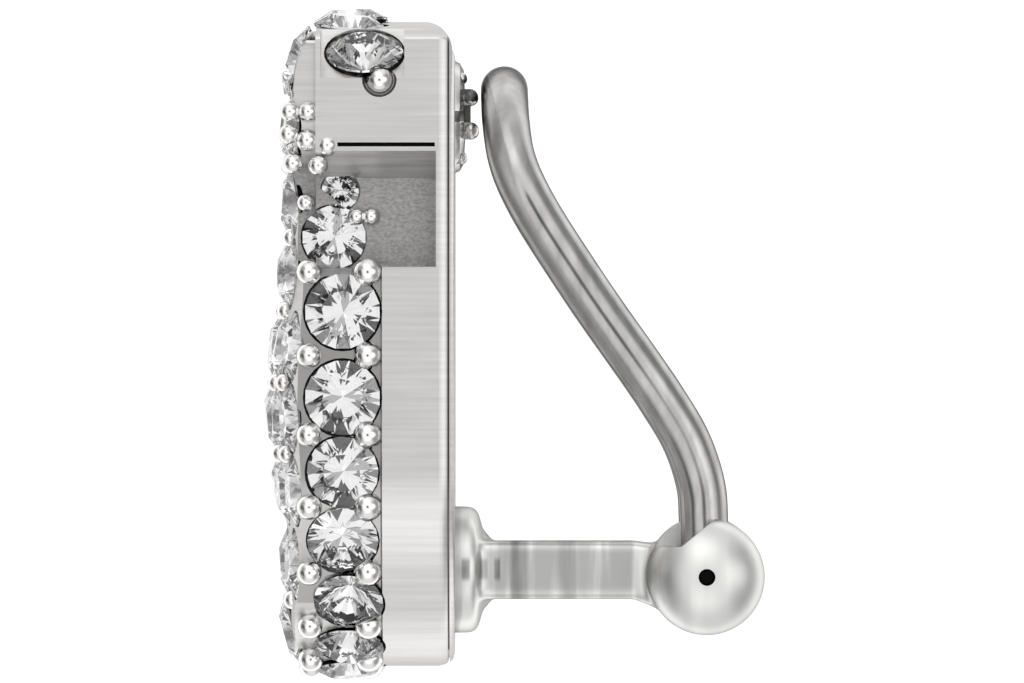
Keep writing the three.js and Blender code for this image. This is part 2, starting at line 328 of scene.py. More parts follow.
def applied(made, *kinds):
    """Adds modifiers, each a kind and its settings, and makes what all of them give the mesh."""
    for kind, settings in kinds:
        modifier = made.modifiers.new(kind, kind)
        for name, value in settings.items():
            setattr(modifier, name, value)
    graph = bpy.context.evaluated_depsgraph_get()
    fresh = bpy.data.meshes.new_from_object(made.evaluated_get(graph))
    made.modifiers.clear()
    made.data = fresh
    return made


def boolean(made, operation, tool):
    result = applied(made, ("BOOLEAN", {"operation": operation, "object": tool, "solver": "MANIFOLD"}))
    bpy.data.objects.remove(tool)
    return result


def loft(name, rings):
    """A closed solid through rings of equal length, capped at both ends."""
    count = len(rings[0])
    points = [p for ring in rings for p in ring]
    faces = [tuple(range(count)), tuple(reversed(range(len(points) - count, len(points))))]
    for r in range(len(rings) - 1):
        a, b = r * count, (r + 1) * count
        for i, j in zip(range(count), (*range(1, count), 0)):
            faces.append((a + i, b + i, b + j, a + j))
    return recalculated(mesh_object(name, points, faces))


CHANNEL_STEP = 0.05  # between the plain wall and the channel's floor
CHANNEL_PAST = 0.4  # how far the rim's casting stops short of the channel's front


def cast_rim():
    """The rim with its plain wall and the channel that the crystals are set in."""
    outline = whole_outline()
    normals = outline_normals(outline)
    channel = [
        CROWN_HEIGHT + GIRDLE_SHOW - proud(n.y) if paved else 0.0
        for (z, y, paved), n in zip(outline, normals)
    ]
    plain = [0.0] * len(outline)
    profile = (
        (REAR_X, plain),
        (-WALL_DEPTH, plain),
        (-WALL_DEPTH - CHANNEL_STEP, channel),
        (-CHANNEL_FRONT + CHANNEL_PAST, channel),
    )
    rings = [[(x, p.y, p.x) for p in mitred(outline, inset)] for x, inset in profile]
    return loft("ornament", rings)


FRONT_X = -5.1
SWELL = {"rise": 0.5, "height": -1.7, "tall": 2.9, "wide": 10}  # of the body's front
EDGE_FALL = (0.6, 0.26)  # of the front towards its sides, on the body and on the block
EDGE_POWER = 2.4
BLEND = (NECK_TOP - 0.7, 1.2)  # where one fall turns into the other: its start and its length
TOP_ROLL = (7.6, 2.43, 2.0)  # height where the front begins to roll over, its rise and depth
BOTTOM_ROLL = (-8.2, 1.86, 1.6)
ROLL_LIMIT = 0.98  # share of its rise, past which a roll stays as it is


def front_level(y, z):
    """X of the crystals' tables on the front."""
    up = (y - SWELL["height"]) / SWELL["tall"]
    swell = SWELL["rise"] * math.exp(-(up**2)) * (1 - (z / SWELL["wide"]) ** 2)
    block = min(1.0, max(0.0, (y - BLEND[0]) / BLEND[1]))
    fall = (EDGE_FALL[0] * (1 - block) + EDGE_FALL[1] * block) * abs(z / HALF_WIDTH) ** EDGE_POWER
    return FRONT_X - swell + fall + front_roll(y)


def front_roll(y):
    for start, rise, depth in (TOP_ROLL, BOTTOM_ROLL):
        past = (y - start) * (1 if start > 0 else -1)
        if past > 0:
            share = min(past / rise, ROLL_LIMIT)
            return depth * (1 - math.sqrt(1 - share * share))
    return 0.0


BED_DEPTH = CROWN_HEIGHT - 0.02  # metal below the tables on the front
DOME_HALF = (8.2, 9.95)  # across and up, a little past the outline
DOME_GRID = (83, 101)
DOME_BACK = -3.4
DOME_CUT = (-3.0, -8.0)  # X of the ends of what trims it
DOME_INSET = 0.28  # of the front from the rim's outline


def front_dome():
    """The front metal as a height field, cut to the outline."""
    zs, ys = (np.linspace(-half, half, count) for half, count in zip(DOME_HALF, DOME_GRID))
    points = [(front_level(y, z) + BED_DEPTH, y, z) for y in ys for z in zs]
    points += [(DOME_BACK, y, z) for y in ys for z in zs]
    wide, high, size = len(zs), len(ys), len(points) // 2
    faces = []
    for a in (r * wide + c for r in range(high - 1) for c in range(wide - 1)):
        quad = (a, a + 1, a + wide + 1, a + wide)
        faces += [quad, tuple(size + i for i in reversed(quad))]
    sides = [(r * wide + c, wide) for r in range(high - 1) for c in (0, wide - 1)]
    sides += [(r * wide + c, 1) for c in range(wide - 1) for r in (0, high - 1)]
    faces += [(a, a + step, a + step + size, a + size) for a, step in sides]
    dome = recalculated(mesh_object("dome", points, faces))
    outline = whole_outline()
    ring = mitred(outline, [DOME_INSET] * len(outline))
    prism = loft("prism", [[(x, p.y, p.x) for p in ring] for x in DOME_CUT])
    return boolean(dome, "INTERSECT", prism)


CRYSTAL_RADIUS = 1.06
RIM_X = -3.15
RIM_PITCH = 2.17


def rim_point(s):
    """Point of the lower rim (y, z) at a distance s from the bottom's middle, and its normal."""
    side = 1 if s >= 0 else -1
    s = abs(s)
    bend = BODY_CORNER * math.pi / 2
    if s < BOTTOM_FLAT:
        y, z, turn = METAL_BOTTOM, s, -math.pi / 2
    elif s < BOTTOM_FLAT + bend:
        turn = -math.pi / 2 + (s - BOTTOM_FLAT) / BODY_CORNER
        y = METAL_BOTTOM + BODY_CORNER * (1 + math.sin(turn))
        z = BOTTOM_FLAT + BODY_CORNER * math.cos(turn)
    else:
        y, z, turn = BEND_TOP + s - BOTTOM_FLAT - bend, HALF_WIDTH, 0.0
    return (y, side * z), (math.sin(turn), side * math.cos(turn))


def along_rim(y):
    """Distance s of a height on the straight side."""
    return BOTTOM_FLAT + BODY_CORNER * math.pi / 2 - BEND_TOP + y


BOTTOM_STONE = (RIM_X + 0.16, 1.05)  # X and radius
SIDE_STONES = (  # distance along the rim, X and radius
    (4 * RIM_PITCH, RIM_X, 1.06), (5 * RIM_PITCH, RIM_X, 1.07),
    (along_rim(-1.62), RIM_X, 1.12), (along_rim(0.93), RIM_X, 1.12),
)
NECK_STONES = (  # X, height, depth below the neck's side, lean and radius
    (-3.42, 3.13, 0.15, (-0.1, -0.12), 0.95), (-3.22, 4.52, 0.12, (-0.08, -0.1), 0.57),
)
CORNER_STONE = ((-2.5, 8.52, 6.58), (-0.03, 0.788, 0.616), 1.15)  # centre, axis and radius
TOP_STONES = (-4.5, -2.25, 0.0, 2.25, 4.5)  # across the width
TOP_STONE = (-2.95, 1.1)  # X and radius
TOP_REACH = 6.5  # half the width over which the top falls to the shoulders
TOP_LEAN = 0.15


def rim_crystals():
    """(girdle centre, axis, radius) of each crystal round the rim."""
    seats = []
    bottom = [(i * RIM_PITCH, *BOTTOM_STONE) for i in range(-3, 4)]
    mirrored = [(-s, x, radius) for s, x, radius in SIDE_STONES]
    for s, x, radius in (*bottom, *SIDE_STONES, *mirrored):
        (y, z), (ny, nz) = rim_point(s)
        out = proud(ny) - CROWN_HEIGHT
        seats.append(((x, y + ny * out, z + nz * out), (0.0, ny, nz), radius))
    for side in (-1, 1):
        for x, y, depth, (forwards, up), radius in NECK_STONES:
            seats.append(((x, y, side * (NECK_HALF_WIDTH - depth)), (forwards, up, side), radius))
        (x, y, z), (nx, ny, nz), radius = CORNER_STONE
        seats.append(((x, y, side * z), (nx, ny, side * nz), radius))
    for z in TOP_STONES:
        share = z / TOP_REACH
        y = METAL_TOP - (METAL_TOP - SHOULDER_TOP) * share**2 + PROUD_END - CROWN_HEIGHT
        seats.append(((TOP_STONE[0], y, z), (0.0, 1.0, TOP_LEAN * share), TOP_STONE[1]))
    return seats


FRONT_PITCH = 2.16
FRONT_RADIUS = 1.03
FRONT_ROWS = 9
FRONT_TOP = 8.55  # height of the top row
ROW_HALF = 0.6  # the outline is read this far above and below a row
ROW_MARGIN = 0.2  # metal beside a row's last stone
SHOULDER_INSET = 0.6  # of the block's rounded top
ROW_SLACK = 0.15  # share of a pitch that a row may lack and still take one more stone


def half_width_at(y):
    if y > SHOULDER_TOP - BLOCK_CORNER:
        return HALF_WIDTH - SHOULDER_INSET
    if y > BLOCK_BASE:
        return HALF_WIDTH
    if y > BODY_TOP:
        return NECK_HALF_WIDTH
    if y > BEND_TOP:
        return HALF_WIDTH
    return BOTTOM_FLAT + math.sqrt(max(0, BODY_CORNER**2 - (y - BEND_TOP) ** 2))


def front_rows():
    """Height and places across the width of each level row on the front, from edge to edge."""
    rows = []
    for i in range(FRONT_ROWS):
        y = FRONT_TOP - i * FRONT_PITCH
        room = min(half_width_at(y + ROW_HALF), half_width_at(y - ROW_HALF)) - FRONT_RADIUS - ROW_MARGIN
        count = int(2 * room / FRONT_PITCH + ROW_SLACK) + 1
        rows.append((y, [room * (2 * k / (count - 1) - 1) for k in range(count)]))
    return rows


def front_crystals():
    """(girdle centre, axis, radius) of each crystal on the front."""
    return [front_seat(y, z) for y, row in front_rows() for z in row]


def front_seat(y, z):
    """The seat at a height and place across the width, square to the front there."""
    step = 0.01
    slope_y = (front_level(y + step, z) - front_level(y - step, z)) / (2 * step)
    slope_z = (front_level(y, z + step) - front_level(y, z - step)) / (2 * step)
    axis = Vector((-1.0, slope_y, slope_z)).normalized()
    centre = Vector((front_level(y, z), y, z)) - axis * CROWN_HEIGHT
    return tuple(centre), tuple(axis), FRONT_RADIUS


crystal_seats = rim_crystals() + front_crystals()


def turned(name, profile, segments):
    """A solid turned about Z from (radius, height) pairs that start and end on the axis."""
    rings, points, faces = [], [], []
    for radius, height in profile:
        count, radius = (segments, radius) if radius > 1e-6 else (1, 0.0)
        rings.append(range(len(points), len(points) + count))
        for i in range(count):
            turn = 2 * math.pi * i / segments
            points.append((radius * math.cos(turn), radius * math.sin(turn), height))
    for low, high in zip(rings, rings[1:]):
        for i in range(segments):
            j = (i + 1) % segments
            a, b = low[i % len(low)], low[j % len(low)]
            c, d = high[j % len(high)], high[i % len(high)]
            corners = list(dict.fromkeys((a, b, c, d)))
            if len(corners) > 2:
                faces.append(tuple(corners))
    return recalculated(mesh_object(name, points, faces))


def set_on_places():
    """A tree that puts a copy of a model on each point, its Z along the point's axis, turned
    about it by the point's spin and sized by the point."""
    tree = bpy.data.node_groups.new("set_on_places", "GeometryNodeTree")
    new_socket = tree.interface.new_socket
    new_socket("Geometry", in_out="INPUT", socket_type="NodeSocketGeometry")
    sockets = {
        "Model": new_socket("Model", in_out="INPUT", socket_type="NodeSocketObject"),
        "Finish": new_socket("Finish", in_out="INPUT", socket_type="NodeSocketMaterial"),
    }
    new_socket("Geometry", in_out="OUTPUT", socket_type="NodeSocketGeometry")

    def made(kind, output, settings=None, **values):
        values = {label.replace("_", " "): value for label, value in values.items()}
        return add_node(tree, kind, settings, values)[output]

    def stored(name, kind):
        return made("GeometryNodeInputNamedAttribute", "Attribute", {"data_type": kind}, Name=name)

    entry = add_node(tree, "NodeGroupInput")
    model = made("GeometryNodeObjectInfo", "Geometry", Object=entry["Model"])
    axis, spin = stored("axis", "FLOAT_VECTOR"), stored("spin", "FLOAT")
    aim = made("FunctionNodeAlignRotationToVector", "Rotation", {"axis": "Z"}, Vector=axis)
    euler = made("ShaderNodeCombineXYZ", "Vector", Z=spin)
    turn = made("FunctionNodeEulerToRotation", "Rotation", Euler=euler)
    local = {"rotation_space": "LOCAL"}
    heading = made("FunctionNodeRotateRotation", "Rotation", local, Rotation=aim, Rotate_By=turn)
    placed = {"Points": entry["Geometry"], "Instance": model, "Rotation": heading}
    copies = made("GeometryNodeInstanceOnPoints", "Instances", Scale=stored("size", "FLOAT"), **placed)
    real = made("GeometryNodeRealizeInstances", "Geometry", Geometry=copies)
    coat = made("GeometryNodeSetMaterial", "Geometry", Geometry=real, Material=entry["Finish"])
    add_node(tree, "NodeGroupOutput", None, {"Geometry": coat})
    return tree, sockets


setting_tree, setting_inputs = set_on_places()


def set_copies(name, model, places, finish):
    """A plain mesh of copies of a model at (centre, axis, size, spin) places."""
    mesh = bpy.data.meshes.new(name)
    mesh.from_pydata([p[0] for p in places], [], [])
    axes = mesh.attributes.new("axis", "FLOAT_VECTOR", "POINT")
    axes.data.foreach_set("vector", [c for p in places for c in Vector(p[1]).normalized()])
    for label, column in (("size", 2), ("spin", 3)):
        values = mesh.attributes.new(label, "FLOAT", "POINT")
        values.data.foreach_set("value", [p[column] for p in places])
    made = bpy.data.objects.new(name, mesh)
    bpy.context.scene.collection.objects.link(made)
    modifier = made.modifiers.new("copies", "NODES")
    modifier.node_group = setting_tree
    modifier[setting_inputs["Model"].identifier] = model
    modifier[setting_inputs["Finish"].identifier] = finish
    return applied(made)


SEAT_PROFILE = ((0, -0.92), (0.3, -0.92), (1.05, -0.08), (1.05, 1.1), (0, 1.1))  # for radius 1
NECK_DRILL_TOP = 0.28  # the neck's drill is short, because the block is above it
FACING_FRONT = -0.6  # X of its axis, below which a crystal is on the front
LIP_STONE_FROM = 4.2  # height of the neck's crystals that are under the block's lip


def drilled(metal):
    """Cuts a seat for each crystal: a short straight wall over a cone."""
    drill = turned("drill", SEAT_PROFILE, 32)
    short_drill = turned("short_drill", [(r, min(h, NECK_DRILL_TOP)) for r, h in SEAT_PROFILE], 32)
    for centre, axis, radius in crystal_seats:
        on_front = axis[0] < FACING_FRONT
        at_neck = not on_front and BODY_TOP < centre[1] < NECK_TOP
        under_lip = at_neck and centre[1] > LIP_STONE_FROM
        # seat walls: the darker bed plate on the front and near black round the rim, both painted shade;
        # bright plate under the block's lip
        inside = bed_painted_shade if on_front else bright if under_lip else painted_shade_black
        place = (centre, axis, radius, 0.0)
        cutter = set_copies("cutter", short_drill if at_neck else drill, [place], inside)
        metal = boolean(metal, "DIFFERENCE", cutter)
    bpy.data.objects.remove(drill)
    bpy.data.objects.remove(short_drill)
    return metal


def finished(made, body, smooth=35):
    """Moves a piece into the row frame, smooths it and hands it to the frame."""
    made.data.transform(TO_ROW)
    for face in made.data.polygons:
        face.use_smooth = smooth > 0
    if smooth > 0:
        made.data.set_sharp_from_angle(angle=math.radians(smooth))
    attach(made, body)
    return made


WARM = (1.012, 1.0, 0.988)
ROUGHNESS_DRIFT = 0.06
CLOUDS = {"Scale": 600.0, "Detail": 4.0}  # that the roughness drifts by, in cycles per metre
BRUSHED = (250, 9000, 250)
MOTTLED = (9000, 14000, 9000)


def grained(tree, place, grain):
    """Noise stretched to a grain, in cycles per metre."""
    along = add_node(tree, "ShaderNodeMapping", None, {"Vector": place, "Scale": grain})["Vector"]
    sockets = {"Vector": along, "Scale": 1.0, "Detail": 3.0}
    return add_node(tree, "ShaderNodeTexNoise", None, sockets)["Fac"]


def plated_metal(name, level, roughness, grain=None, depth=0.0, edge=0.45):
    """Silver-coloured plate. The grain gives its tone lines or a mottle of a depth, and edge
    is how much it reflects where it turns away."""
    material, tree, shader = new_material(
        name, Base_Color=grey(level, WARM), Metallic=1.0, Specular_Tint=grey(edge)
    )
    place = add_node(tree, "ShaderNodeTexCoord")["Object"]
    cloud = add_node(tree, "ShaderNodeTexNoise", None, {"Vector": place, **CLOUDS})["Fac"]
    plug(tree, (cloud - 0.5) * ROUGHNESS_DRIFT + roughness, shader.inputs["Roughness"])
    if grain:
        tone = level * (1 + 2 * depth * (grained(tree, place, grain) - 0.5))
        plug(tree, varied_grey(tree, tone, WARM), shader.inputs["Base Color"])
    return material


plate = plated_metal("rhodium_plate", 0.80, 0.36, BRUSHED, 0.16)
polished = plated_metal("polished_plate", 0.80, 0.17)
# the neck's plate: rough and mottled, and darker than the rest, partly its finish and partly painted
# shade in the set-back neck
blasted_and_shade = plated_metal("blasted_plate_and_shade", 0.39, 0.5, MOTTLED, 0.6)
streaked = plated_metal("streaked_plate", 0.88, 0.4, BRUSHED, 0.5)
# a darker plate, painted shade: in the channel, the front seats, the bead pockets and the corner seats
bed_painted_shade = plated_metal("channel_painted_shade", 0.55, 0.3)
bright = plated_metal("bright_beads", 0.97, 0.12)
# a dark plate, painted shade: in the seam round the back and on the pad's dark bands
shaded = plated_metal("shaded_plate", 0.16, 0.3)
# the unpolished insides of seats, slots and bores, and the pin's ends, painted near black as shade
painted_shade_black = new_material("black_painted_shade", Base_Color=grey(0.02), Roughness=0.9, Specular_IOR_Level=0.15)[0]


def box_solid(name, low, high):
    points = [(x, y, z) for x in (low[0], high[0]) for y in (low[1], high[1]) for z in (low[2], high[2])]
    faces = [(0, 1, 3, 2), (4, 6, 7, 5), (0, 4, 5, 1), (2, 3, 7, 6), (0, 2, 6, 4), (1, 5, 7, 3)]
    return recalculated(mesh_object(name, points, faces))


def coated(made, material):
    made.data.materials.clear()
    made.data.materials.append(material)
    return made


BACK_PROFILE = (  # X and inset of the outline: a slightly pillowed back and a narrow seam
    (0.15, 0.36), (0.11, 0.2), (0.004, 0.1), (0.0, 0.24), (-0.045, 0.24),
)
BACK_BEVEL = (  # the same, of the soft edge in front of the seam
    (-0.05, 0.1), (-0.1, 0.065), (-0.17, 0.035), (-0.25, 0.018), (-0.33, 0.011), (-0.39, 0.01),
)


def back_plate():
    """The plain back, which spans the neck at full width."""
    full = [(z, y, p) for z, y, p in whole_outline() if abs(abs(z) - NECK_HALF_WIDTH) > 0.01]
    rings = [
        [(x, p.y, p.x) for p in mitred(full, [inset] * len(full))]
        for x, inset in BACK_PROFILE + BACK_BEVEL
    ]
    return loft("back_plate", rings)


REAR_CORNER = {"x": -0.9, "y": 8.6, "deep": 1.0, "tall": 1.03}
PAST_METAL = (0.6, 10.4, 9)  # X, height and half width that no metal reaches


def rear_corner():
    """What the rounded rear top corner of the block leaves out."""
    x, y, deep, tall = REAR_CORNER.values()
    edge = [(x + deep * math.cos(t), y + tall * math.sin(t)) for t in np.radians(np.linspace(90, 0, 13))]
    far_x, far_y, wide = PAST_METAL
    edge += [(far_x, y), (far_x, far_y), (x, far_y)]
    return loft("rear_corner", [[(x, y, z) for x, y in edge] for z in (-wide, wide)])


UNDERCUT = {"x": (-3.3, -0.42), "y": (5.81, 5.93), "depth": 0.3}


def undercut(side):
    """The narrow line cut into each side of the block."""
    z0, z1 = sorted((side * (HALF_WIDTH - UNDERCUT["depth"]), side * (HALF_WIDTH + 1)))
    (x0, x1), (y0, y1) = UNDERCUT["x"], UNDERCUT["y"]
    return box_solid("undercut", (x0, y0, z0), (x1, y1, z1))


CORNER_BEAD = (-2.06, 7.78, 0.42)  # X, height and radius
POCKET_PROFILE = ((0, 0), (0.44, 0), (0.5, 0.2), (0.6, 1.0), (0, 1.0))
POCKET_DEPTH = 0.3


def bead_pocket(side):
    """The flared hole that the corner's bead stands in."""
    pocket = turned("pocket", POCKET_PROFILE, 32)
    spin = Matrix.Rotation(0 if side > 0 else math.pi, 4, "X")
    bottom = (*CORNER_BEAD[:2], side * (HALF_WIDTH - POCKET_DEPTH))
    pocket.data.transform(Matrix.Translation(bottom) @ spin)
    return pocket


FLAT_ENDS = (-3.8, -1.32)  # X
FLAT_SECTION = ((7.44, 8.1), (10.0, 4.83), (10.5, 9.0))  # height and distance across of what is cut off


def corner_flat(side):
    """The metal in front of the flat that the corner's crystal is set in."""
    return loft("corner_flat", [[(x, y, side * z) for y, z in FLAT_SECTION] for x in FLAT_ENDS])


ornament = coated(cast_rim(), plate)
ornament = boolean(ornament, "UNION", coated(front_dome(), polished))
ornament = boolean(ornament, "UNION", coated(back_plate(), plate))
ornament = boolean(ornament, "DIFFERENCE", coated(rear_corner(), plate))
# painted shade: the undercut line's faces are coated near black, and the bead pockets' walls get the
# darker bed plate
for cutter, coat in ((undercut, painted_shade_black), (bead_pocket, bed_painted_shade), (corner_flat, plate)):
    for side in (-1, 1):
        ornament = boolean(ornament, "DIFFERENCE", coated(cutter(side), coat))
ornament = drilled(ornament)


def repaint(made, material, chooses, over=None):
    """Gives a material to the faces that a test on centre and normal chooses, and only to
    those that are coated with the material over, if it is given."""
    coats = list(made.data.materials)
    made.data.materials.append(material)
    for face in made.data.polygons:
        if over in (None, coats[face.material_index]) and chooses(face.center, face.normal):
            face.material_index = len(coats)


def on_corner_seat(centre, normal):
    """The open walls of the seats at the block's two upper corners."""
    return centre.y > 7.0 and abs(centre.z) > 5.6 and -3.9 < centre.x < -1.1


def in_neck(centre, normal):
    on_neck = BODY_TOP < centre.y < BLOCK_BASE - 0.1 and abs(normal.z) > 0.3
    return on_neck and abs(centre.z) < HALF_WIDTH - 0.01 and -CHANNEL_FRONT < centre.x < -0.38


def on_underside(centre, normal):
    """The slope under the block's lip."""
    return NECK_TOP - 0.05 < centre.y < BLOCK_BASE and 0.3 < abs(normal.z) < 0.8 and normal.y < -0.3


def in_channel(centre, normal):
    deep = abs(centre.z) < HALF_WIDTH - 0.2 and abs(normal.z) > 0.7
    return deep and centre.x < -WALL_DEPTH and centre.y < BODY_TOP


def in_seam(centre, normal):
    """The seam round the back, but not along the bottom."""
    return -0.049 < centre.x < 0.003 and centre.y > METAL_BOTTOM + 0.5


# the corner seats' walls change from near black to the darker bed plate: still painted shade, only
# lighter
repaint(ornament, bed_painted_shade, on_corner_seat, painted_shade_black)
# the neck's sides get the dark mottled plate: partly finish, partly painted shade
repaint(ornament, blasted_and_shade, in_neck)
repaint(ornament, streaked, on_underside)
# the channel's side-facing faces on the body get the darker bed plate: painted shade
repaint(ornament, bed_painted_shade, in_channel)
# the seam is painted dark: painted shade in the crease
repaint(ornament, shaded, in_seam)
finished(ornament, "earring")
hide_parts("setting")


# --- Crystals ----------------------------------------------------------------
# Round colourless crystals with a brilliant cut, mirrored behind like all such chatons, set
# level with the beads that hold them.

PAVILION = 0.86  # depth of a crystal of radius 1, as all of its cut
TABLE = 0.55
CROWN_MIDDLE = (0.78, 0.52)  # radius, and share of the crown's height
KEEL = (0.30, 0.72)  # radius, and share of the depth
GIRDLE_HALF = 0.03
MAIN_FACET_REFLECTIONS = (0.96, 0.93, 0.96, 0.5, 0.96, 0.96, 0.9, 0.96)  # of the mirrored facets; the dark ones are painted reflections
HALF_FACET_REFLECTIONS = (
    0.1, 0.95, 0.95, 0.9, 0.3, 0.95, 0.95, 0.95, 0.95, 0.12, 0.95, 0.95, 0.9, 0.95, 0.35, 0.95,
)


def brilliant():
    """One cut crystal of unit girdle radius, girdle at Z = 0, with a mirrored underside."""
    crown = CROWN_HEIGHT / CRYSTAL_RADIUS
    points, faces, backs = [], [], []

    def ring(radius, height, count, offset=0.0):
        first = len(points)
        for i in range(count):
            turn = 2 * math.pi * (i + offset) / count
            points.append((radius * math.cos(turn), radius * math.sin(turn), height))
        return [first + i for i in range(count)]

    table = ring(TABLE, crown, 8)
    middle = ring(CROWN_MIDDLE[0], CROWN_MIDDLE[1] * crown, 8, 0.5)
    upper = ring(1.0, GIRDLE_HALF, 16)
    lower = ring(1.0, -GIRDLE_HALF, 16)
    keel = ring(KEEL[0], -KEEL[1] * PAVILION, 8, 0.5)
    culet = len(points)
    points.append((0, 0, -PAVILION))
    faces.append(tuple(table))
    for k in range(8):
        n = (k + 1) % 8
        faces.append((table[k], middle[k], table[n]))
        faces.append((table[k], middle[k - 1], upper[2 * k], middle[k]))
        for a in (2 * k, 2 * k + 1):
            b = (a + 1) % 16
            faces.append((middle[k], upper[a], upper[b]))
            backs.append((keel[k], lower[b], lower[a]))
        backs.append((culet, keel[k], lower[2 * k], keel[k - 1]))
    for a in range(16):
        b = (a + 1) % 16
        faces.append((upper[a], lower[a], lower[b], upper[b]))
    made = mesh_object("brilliant", points, faces + backs)
    # the mirrored facets' tones: the dark ones are painted reflections
    facet_reflections = []
    for k in range(8):
        facet_reflections += [HALF_FACET_REFLECTIONS[2 * k], HALF_FACET_REFLECTIONS[2 * k + 1], MAIN_FACET_REFLECTIONS[k]]
    for name, front, back in (("foil", 0.0, [1.0] * len(backs)), ("tone", 1.0, facet_reflections)):
        values = made.data.attributes.new(name, "FLOAT", "FACE")
        values.data.foreach_set("value", [front] * len(faces) + back)
    return made


def foiled_crystal():
    """Clear in front and mirrored behind, each mirrored facet with a tone of its own: the dark tones are
    painted reflections.
    """
    material, tree, clear = new_material(
        "foiled_crystal", Base_Color=grey(1.0), Roughness=0.0, IOR=1.58, Transmission_Weight=1.0
    )
    foil = add_node(tree, "ShaderNodeAttribute", {"attribute_name": "foil"})["Fac"]
    tone = add_node(tree, "ShaderNodeAttribute", {"attribute_name": "tone"})["Fac"]
    silvering = {"Base Color": varied_grey(tree, tone), "Metallic": 1.0, "Roughness": 0.03}
    mirror = add_node(tree, "ShaderNodeBsdfPrincipled", None, silvering)["BSDF"]
    halves = {"Fac": foil, 1: Shade(tree, clear.outputs["BSDF"]), 2: mirror}
    both = add_node(tree, "ShaderNodeMixShader", None, halves)["Shader"]
    plug(tree, both, tree.nodes["Material Output"].inputs["Surface"])
    return material


TILT = 0.09  # of the crystals in their seats, at random
SINK = 0.05  # of the crystals into their seats
CORNER_LIFT = 0.12  # of the block's two corner crystals, out of their deeper seats
CORNER_LEAN = Vector((0.0, 0.22, 0.0))  # of those two towards the top
crystal = foiled_crystal()
model = brilliant()
random = np.random.default_rng(7)
crystal_places = []
for centre, axis, radius in crystal_seats:
    straight = Vector(axis).normalized()
    lean = Vector(random.uniform(-1, 1, 3)) * TILT
    lift = -SINK
    if (axis[0], axis[1]) == CORNER_STONE[1][:2]:
        lean, lift = CORNER_LEAN, CORNER_LIFT
    place = Vector(centre) + straight * lift
    crystal_places.append((tuple(place), tuple(straight + lean), radius, random.uniform(0, 6.28)))
crystals = set_copies("crystals", model, crystal_places, crystal)
bpy.data.objects.remove(model)
finished(crystals, "earring", 0)
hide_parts("crystal_pave")


# --- Beads -------------------------------------------------------------------
# Grains of the casting's own metal, rounded over the crystals' edges. Two large ones stand
# between each pair round the rim, and small ones fill the corners between those in front.

BEADS_PROUD = 0.1
RIM_BEADS = ((-2.41, 0.44), (-4.14, 0.38))  # X and radius of the two between a pair of crystals
RIM_GAPS = (-2.72, -0.37, 2.1)  # heights of the gaps on the straight sides
NECK_BEADS = ((-2.75, 3.75, 0.27), (-2.31, 3.75, 0.27), (-4.25, 4.16, 0.26))  # X, height, radius
BLOCK_BEADS = (
    CORNER_BEAD, (-4.71, 6.84, 0.3), (-4.17, 6.84, 0.3), (-4.74, 6.18, 0.3), (-4.2, 6.0, 0.33),
    (-3.6, 5.85, 0.33), (-4.62, 5.31, 0.3), (-3.87, 5.25, 0.3),
)


def rim_beads():
    places = []
    lower = [(i + 0.5) * RIM_PITCH for i in range(-5, 5)]
    upper = [along_rim(y) for y in RIM_GAPS]
    for s in lower + upper + [-s for s in upper]:
        (y, z), (ny, nz) = rim_point(s)
        for x, size in RIM_BEADS:
            out = proud(ny) - size
            places.append(((x, y + ny * out, z + nz * out), (0.0, ny, nz), size, 0.0))
    for side in (-1, 1):
        for x, y, size in NECK_BEADS:
            places.append(((x, y, side * NECK_HALF_WIDTH), (0.0, 0.0, side), size, 0.0))
        for x, y, size in BLOCK_BEADS:
            z = side * (HALF_WIDTH + BEADS_PROUD - size)
            places.append(((x, y, z), (0.0, 0.0, side), size, 0.0))
    return places


FRONT_BEAD = 0.29
FRONT_EDGE = (0.5, 9.0)  # no bead is nearer the sides, or further up or down
STONE_CLEARANCE = FRONT_RADIUS + 0.15
BEAD_SPACING = 0.75


def front_beads():
    """One bead above and below each gap between two crystals of a row."""
    places = []
    stones = [Vector(seat[0]) for seat in front_crystals()]
    for row_y, row in front_rows():
        for left, right in zip(row, row[1:]):
            for y in (row_y - FRONT_PITCH / 2, row_y + FRONT_PITCH / 2):
                z = (left + right) / 2
                centre, axis, _ = front_seat(y, z)
                centre = Vector(centre)
                on_front = abs(z) < half_width_at(y) - FRONT_EDGE[0] and abs(y) < FRONT_EDGE[1]
                clear = all((centre - stone).length > STONE_CLEARANCE for stone in stones)
                alone = all((centre - Vector(p[0])).length > BEAD_SPACING for p in places)
                if on_front and clear and alone:
                    places.append((tuple(centre), axis, FRONT_BEAD, 0.0))
    return places


bead_model = turned("bead", [(math.sin(t), math.cos(t)) for t in np.linspace(math.pi, 0, 11)], 20)
bead_places = rim_beads() + front_beads()
beads = set_copies("beads", bead_model, bead_places, bright)
bpy.data.objects.remove(bead_model)
finished(beads, "earring", 60)
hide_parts("crystal_pave")


# --- Hinge arm and grip pad --------------------------------------------------
# Cast with the ornament: a ridged button that the loop presses the ear lobe against, and a
# bar on a round foot, which ends in a barrel with two slotted balls for the loop's legs.

ARM_HEIGHT = -6.8
BARREL_RADIUS = 1.74
BARREL_HALF_LENGTH = 5.3
LEG_X = 7.62
LEG_HALF_SPACING = 3.2
WIRE_RADIUS = 0.71
RUNNING_GAP = 0.14
EYE_RADIUS = 0.92
PIN_BORE = 0.25
BORE_ENDS = (2, 8)  # across, inside the leg's slot and past the ball's end


def turned_outwards(name, profile, y):
    """A solid turned about a line that points back from the flat back at a height."""
    made = turned(name, profile, 64)
    made.data.transform(Matrix.Translation((0, y, 0)) @ Matrix.Rotation(math.pi / 2, 4, "Y"))
    return made


